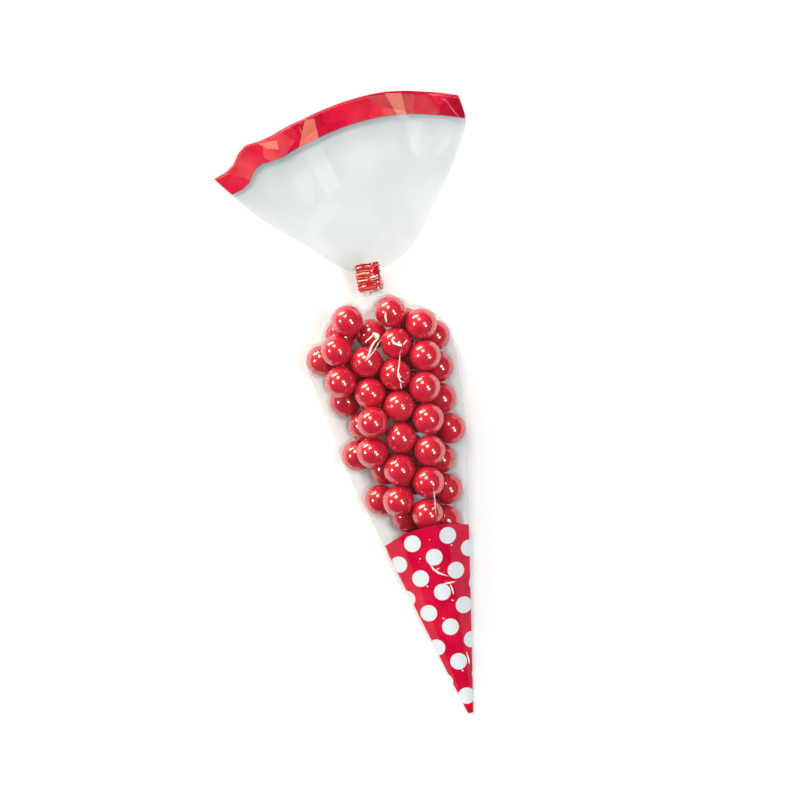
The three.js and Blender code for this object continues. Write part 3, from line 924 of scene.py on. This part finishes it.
def film_mesh(shape):
    """The film as one smooth sheet of quads, closed at the tip, open at the mouth."""
    rings, rim = shape.rings()
    count = len(shape.turns)
    points = np.concatenate([ring for ring, _ in rings])
    flat = np.concatenate([lay for _, lay in rings])
    points = ease_off_balls(points, shape.balls, BALL_RADIUS + BALL_GAP)
    mesh = bmesh.new()
    layer = mesh.loops.layers.uv.new("FlatFilm")
    mesh.verts.layers.float.new("crease")
    slack = mesh.verts.layers.float.new("slack")
    front = mesh.verts.layers.float.new("front")
    verts = [mesh.verts.new(point) for point in points]
    for place, (vert, share) in enumerate(zip(verts, slackness(points, shape.balls))):
        vert.index = place
        vert[slack] = share
        vert[front] = 1.0 if EDGE_TURN < shape.turns[place % count] < math.pi - EDGE_TURN else 0.0
    for ring in range(len(rings) - 1):
        for i in range(count):
            j = (i + 1) % count
            low, high = ring * count, (ring + 1) * count
            mesh.faces.new((verts[low + i], verts[high + i], verts[high + j], verts[low + j]))
    mesh.faces.new([verts[i] for i in range(count)])
    for face in mesh.faces:
        face.smooth = True
        for loop in face.loops:
            loop[layer].uv = flat[loop.vert.index] * MM
        if all(vert.co.y > shape.neck_start for vert in face.verts):
            face.material_index = 1
    refine_creases(mesh, shape)
    bmesh.ops.recalc_face_normals(mesh, faces=mesh.faces)
    return mesh, rim


def refine_creases(mesh, shape):
    """Divides the film's front finely along its creases, and raises them."""
    front = mesh.verts.layers.float["front"]
    corners = np.array([v.co for v in mesh.verts])
    facing = np.array([v[front] for v in mesh.verts]) > 0.5
    near = np.zeros(len(corners), bool)
    for _, width, line in CREASES:
        distance, _ = near_line(corners[:, :2], line)
        near |= distance < CREASE_REACH + 2 * width
    near &= facing
    faces = [f for f in mesh.faces if len(f.verts) == 4 and all(near[v.index] for v in f.verts)]
    edges = list({edge for face in faces for edge in face.edges})
    bmesh.ops.subdivide_edges(mesh, edges=edges, cuts=CREASE_CUTS, use_grid_fill=True)
    mesh.normal_update()
    corners = np.array([v.co for v in mesh.verts])
    strengths = crease_height(corners[:, :2])
    crease = mesh.verts.layers.float["crease"]
    for vert, strength in zip(mesh.verts, strengths.tolist()):
        if strength > 0.01 and vert[front] > 0.99:
            up = vert.normal if vert.normal.z > 0 else -vert.normal
            rise = CREASE_RISE if vert.co.y < shape.neck_start else 0.0
            vert.co += up * strength * rise
            vert[crease] = strength


def make_film(settings):
    """The film, as one thin-walled piece."""
    shape = BagShape(settings)
    sheet, rim = film_mesh(shape)
    for vert in sheet.verts:
        vert.co = Vector(to_frame(vert.co))
    mesh = bpy.data.meshes.new("bag_film_skin")
    sheet.to_mesh(mesh)
    sheet.free()
    mesh.materials.append(film_material(settings, rim * MM, at_mouth=False))
    mesh.materials.append(film_material(settings, rim * MM, at_mouth=True))
    piece = new_object("bag_film_skin", mesh)
    wall = piece.modifiers.new("Wall", "SOLIDIFY")
    wall.thickness = settings.thickness
    wall.offset = 1.0
    wall.use_even_offset = False
    bake_modifiers(piece)
    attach(piece, "root")
    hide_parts(*FILM_NODES)
    return piece


# The tie's turns and counts, and its thickness and each step's length of ribbon in millimetres.
TIE_TURNS = 3.7
TIE_STEPS = 44
TIE_ACROSS = 15
TIE_THICKNESS = 0.22
TIE_STEP_LENGTH = 0.6
# Where its winding starts, in degrees.
TIE_START = -100.0
# How square its oval is, down from 1 for an ellipse, and how far the ribbon stands off the neck.
TIE_CORNERS = 0.82
TIE_STAND_OFF = 0.5


def tie_section(half):
    """The ribbon's curved top across its width, with a low ridge where its wire runs."""
    across = np.linspace(-half, half, TIE_ACROSS)
    ridge = 0.6 * np.exp(-((across / 0.55) ** 2))
    lips = 0.12 * (np.abs(across) / half) ** 6
    return across, ridge + lips


def tie_ring(shape_height, along, turn, turns_done, across, rise):
    """One line across the ribbon, as it goes round the neck on a soft-cornered oval."""
    wobble = 0.28 * math.sin(2.3 * turns_done * math.tau + 0.6)
    wobble += 0.2 * math.sin(5.1 * turns_done * math.tau)
    tilt = 0.055 * math.sin(turn * 2 + 1.1) + 0.05
    overlap = 0.32 * (across / across[-1])
    flat_x = math.copysign(abs(math.cos(turn)) ** TIE_CORNERS, math.cos(turn))
    flat_z = math.copysign(abs(math.sin(turn)) ** TIE_CORNERS, math.sin(turn))
    facet = 0.22 * math.cos(6 * turn + turns_done * 1.7)
    stand = TIE_STAND_OFF + rise + overlap + facet
    x = (NECK_HALF_WIDTH + 0.25 + stand) * flat_x
    y = along + across + wobble * 0.5 + tilt * x
    z = shape_height + (NECK_HALF_DEPTH + 0.35 + stand) * flat_z
    return np.column_stack([x, y, z])


def make_tie(settings):
    """The tie, wound round the neck from bottom to top."""
    low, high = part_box("twist_tie")
    height = from_tip((low + high) / 2)[2]
    half = settings.width / MM / 2
    across, rise = tie_section(half)
    bottom = from_tip(low)[1] + half + 0.1
    climb = settings.pitch / MM
    steps = round(TIE_TURNS * TIE_STEPS)
    tops, flats = [], []
    for step in range(steps + 1):
        done = step / TIE_STEPS
        turn = math.radians(TIE_START) + math.tau * done
        tops.append(tie_ring(height, bottom + climb * done, turn, done, across, rise))
        flats += [(step * TIE_STEP_LENGTH * MM, a * MM) for a in across]
    mesh = bpy.data.meshes.new("wound_tie")
    faces = []
    for step in range(steps):
        for i in range(TIE_ACROSS - 1):
            a = step * TIE_ACROSS + i
            faces.append((a, a + TIE_ACROSS, a + TIE_ACROSS + 1, a + 1))
    mesh.from_pydata(to_frame(np.concatenate(tops)).tolist(), [], faces)
    layer = mesh.uv_layers.new(name="Ribbon")
    for loop in mesh.loops:
        layer.data[loop.index].uv = flats[loop.vertex_index]
    mesh.shade_smooth()
    mesh.materials.append(foil_material(tuple(settings.colour)))
    piece = new_object("wound_tie", mesh)
    face_outwards(piece)
    wall = piece.modifiers.new("Wall", "SOLIDIFY")
    wall.thickness = TIE_THICKNESS * MM
    wall.offset = -1.0
    bake_modifiers(piece)
    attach(piece, "root")
    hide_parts("twist_tie")
    return piece


def face_outwards(piece):
    """Turns the ribbon's open sheet so that its top faces away from the neck."""
    mesh = piece.data
    middle = sum((v.co for v in mesh.vertices), Vector()) / len(mesh.vertices)
    outward = 0
    for face in mesh.polygons:
        away = face.center - middle
        away.y = 0
        outward += 1 if face.normal.dot(away) > 0 else -1
    if outward < 0:
        mesh.flip_normals()


# The middle of the picture, in millimetres from the tip, and its height in metres.
PICTURE_CENTRE = (1.3, 161.0)
PICTURE_HEIGHT = 0.012
CAMERA_DISTANCE = 2.4
# Half the table's side, and how far its top lies below the bag, in metres.
TABLE_HALF, TABLE_DROP = 8.0, 0.0003
AMBER, CREAM, WHITE = (1.0, 0.86, 0.7), (1.0, 0.92, 0.8), (1.0, 1.0, 1.0)
# The studio's lamps, each by where its glint shows on a ball, in ball radii to the right and up, how wide
# it looks from the table, in degrees, and its colour.
LAMPS = [
    ("bar_low", (-0.48, 0.40), 18.0, AMBER),
    ("bar_middle", (-0.37, 0.46), 18.0, AMBER),
    ("bar_high", (-0.26, 0.52), 18.0, AMBER),
    ("spot", (-0.15, 0.29), 21.0, CREAM),
    ("side", (-0.46, -0.01), 17.0, WHITE),
    ("long_high", (0.20, 0.02), 16.0, WHITE),
    ("long_low", (0.30, -0.13), 16.0, WHITE),
]
LAMP_RADIANCE = 12.0
# How strong the even light from all round is, which the gloss doesn't mirror.
FILL = 0.4


def picture_axes(lean):
    """The picture's right, up and out, as directions in the shared frame."""
    right = Vector((math.cos(lean), -math.sin(lean), 0.0))
    up = Vector((math.sin(lean), math.cos(lean), 0.0))
    return right, up, Vector((0.0, 0.0, 1.0))


def add_lamp(name, glint, width, colour, axes):
    """A lamp far away, placed so that a ball mirrors it to the camera at the glint."""
    across, up = glint
    out_part = math.sqrt(1 - across**2 - up**2)
    mirrored = (2 * out_part * across, 2 * out_part * up, 2 * out_part**2 - 1)
    way = sum((axis * part for axis, part in zip(axes, mirrored)), Vector())
    data = bpy.data.lights.new(name, "SUN")
    data.angle = math.radians(width)
    data.energy = LAMP_RADIANCE * math.pi * math.sin(data.angle / 2) ** 2
    data.color = colour
    lamp = bpy.data.objects.new(name, data)
    bpy.context.scene.collection.objects.link(lamp)
    lamp.matrix_world = way.to_track_quat("Z", "Y").to_matrix().to_4x4()
    return lamp


def make_stage(settings):
    """The table, the lamps and the camera straight above."""
    axes = picture_axes(settings.lean)
    middle = to_frame([(*PICTURE_CENTRE, 0.0)])[0]
    target = Vector((middle[0], middle[1], PICTURE_HEIGHT))

    mesh = bpy.data.meshes.new("table")
    signs = ((-1, -1), (1, -1), (1, 1), (-1, 1))
    corners = [(x * TABLE_HALF, y * TABLE_HALF, -TABLE_DROP) for x, y in signs]
    mesh.from_pydata(corners, [], [(0, 1, 2, 3)])
    mesh.materials.append(table_material(settings.floor_colour))
    table = new_object("table", mesh)

    for lamp in LAMPS:
        add_lamp(*lamp, axes)

    scene = bpy.context.scene
    world = bpy.data.worlds.new("studio")
    world.use_nodes = True
    background = world.node_tree.nodes["Background"]
    background.inputs["Color"].default_value = (*WHITE, 1.0)
    background.inputs["Strength"].default_value = FILL
    scene.world = world
    world.cycles_visibility.glossy = False

    data = bpy.data.cameras.new("camera")
    data.sensor_width = 36.0
    data.lens = data.sensor_width * CAMERA_DISTANCE / settings.picture_width
    data.clip_end = 50.0
    camera = bpy.data.objects.new("camera", data)
    scene.collection.objects.link(camera)
    above = Matrix.Translation(target + axes[2] * CAMERA_DISTANCE)
    camera.matrix_world = above @ Matrix.Rotation(-settings.lean, 4, "Z")
    scene.camera = camera
    scene.view_settings.view_transform = "Standard"
    scene.cycles.transparent_max_bounces = 32
    return table


class CONEBAG_OT_stage(bpy.types.Operator):
    """Sets the table, the lights and the camera"""

    bl_idname = "conebag.stage"
    bl_label = "Studio"

    def execute(self, context):
        make_stage(context.scene.cone_bag_stage)
        return {"FINISHED"}


class CONEBAG_OT_balls(bpy.types.Operator):
    """Makes the glossy balls that fill the bag"""

    bl_idname = "conebag.balls"
    bl_label = "Balls"

    def execute(self, context):
        make_balls(context.scene.cone_bag_balls)
        return {"FINISHED"}


class CONEBAG_OT_film(bpy.types.Operator):
    """Makes the clear film, from its printed tip to its printed mouth"""

    bl_idname = "conebag.film"
    bl_label = "Film"

    def execute(self, context):
        make_film(context.scene.cone_bag_film)
        return {"FINISHED"}


class CONEBAG_OT_tie(bpy.types.Operator):
    """Winds the tie round the neck"""

    bl_idname = "conebag.tie"
    bl_label = "Twist Tie"

    def execute(self, context):
        make_tie(context.scene.cone_bag_tie)
        return {"FINISHED"}


OPERATORS = (CONEBAG_OT_stage, CONEBAG_OT_balls, CONEBAG_OT_film, CONEBAG_OT_tie)
SETTINGS = {
    "cone_bag_stage": StageSettings,
    "cone_bag_balls": BallSettings,
    "cone_bag_film": FilmSettings,
    "cone_bag_tie": TieSettings,
}


class CONEBAG_PT_panel(bpy.types.Panel):
    """Lists the bag's pieces and their settings"""

    bl_idname = "CONEBAG_PT_panel"
    bl_label = "Cone Bag"
    bl_space_type = "VIEW_3D"
    bl_region_type = "UI"
    bl_category = "Cone Bag"

    def draw(self, context):
        for name, operator in zip(SETTINGS, OPERATORS):
            box = self.layout.box()
            box.operator(operator.bl_idname)
            group = getattr(context.scene, name)
            for prop in SETTINGS[name].__annotations__:
                box.prop(group, prop)


CLASSES = (*SETTINGS.values(), *OPERATORS, CONEBAG_PT_panel)


def register():
    for cls in CLASSES:
        bpy.utils.register_class(cls)
    for name, group in SETTINGS.items():
        setattr(bpy.types.Scene, name, bpy.props.PointerProperty(type=group))


def unregister():
    for name in SETTINGS:
        delattr(bpy.types.Scene, name)
    for cls in reversed(CLASSES):
        bpy.utils.unregister_class(cls)


def main():
    register()
    bpy.ops.conebag.stage()
    bpy.ops.conebag.balls()
    bpy.ops.conebag.film()
    bpy.ops.conebag.tie()


if __name__ == "__main__":
    main()
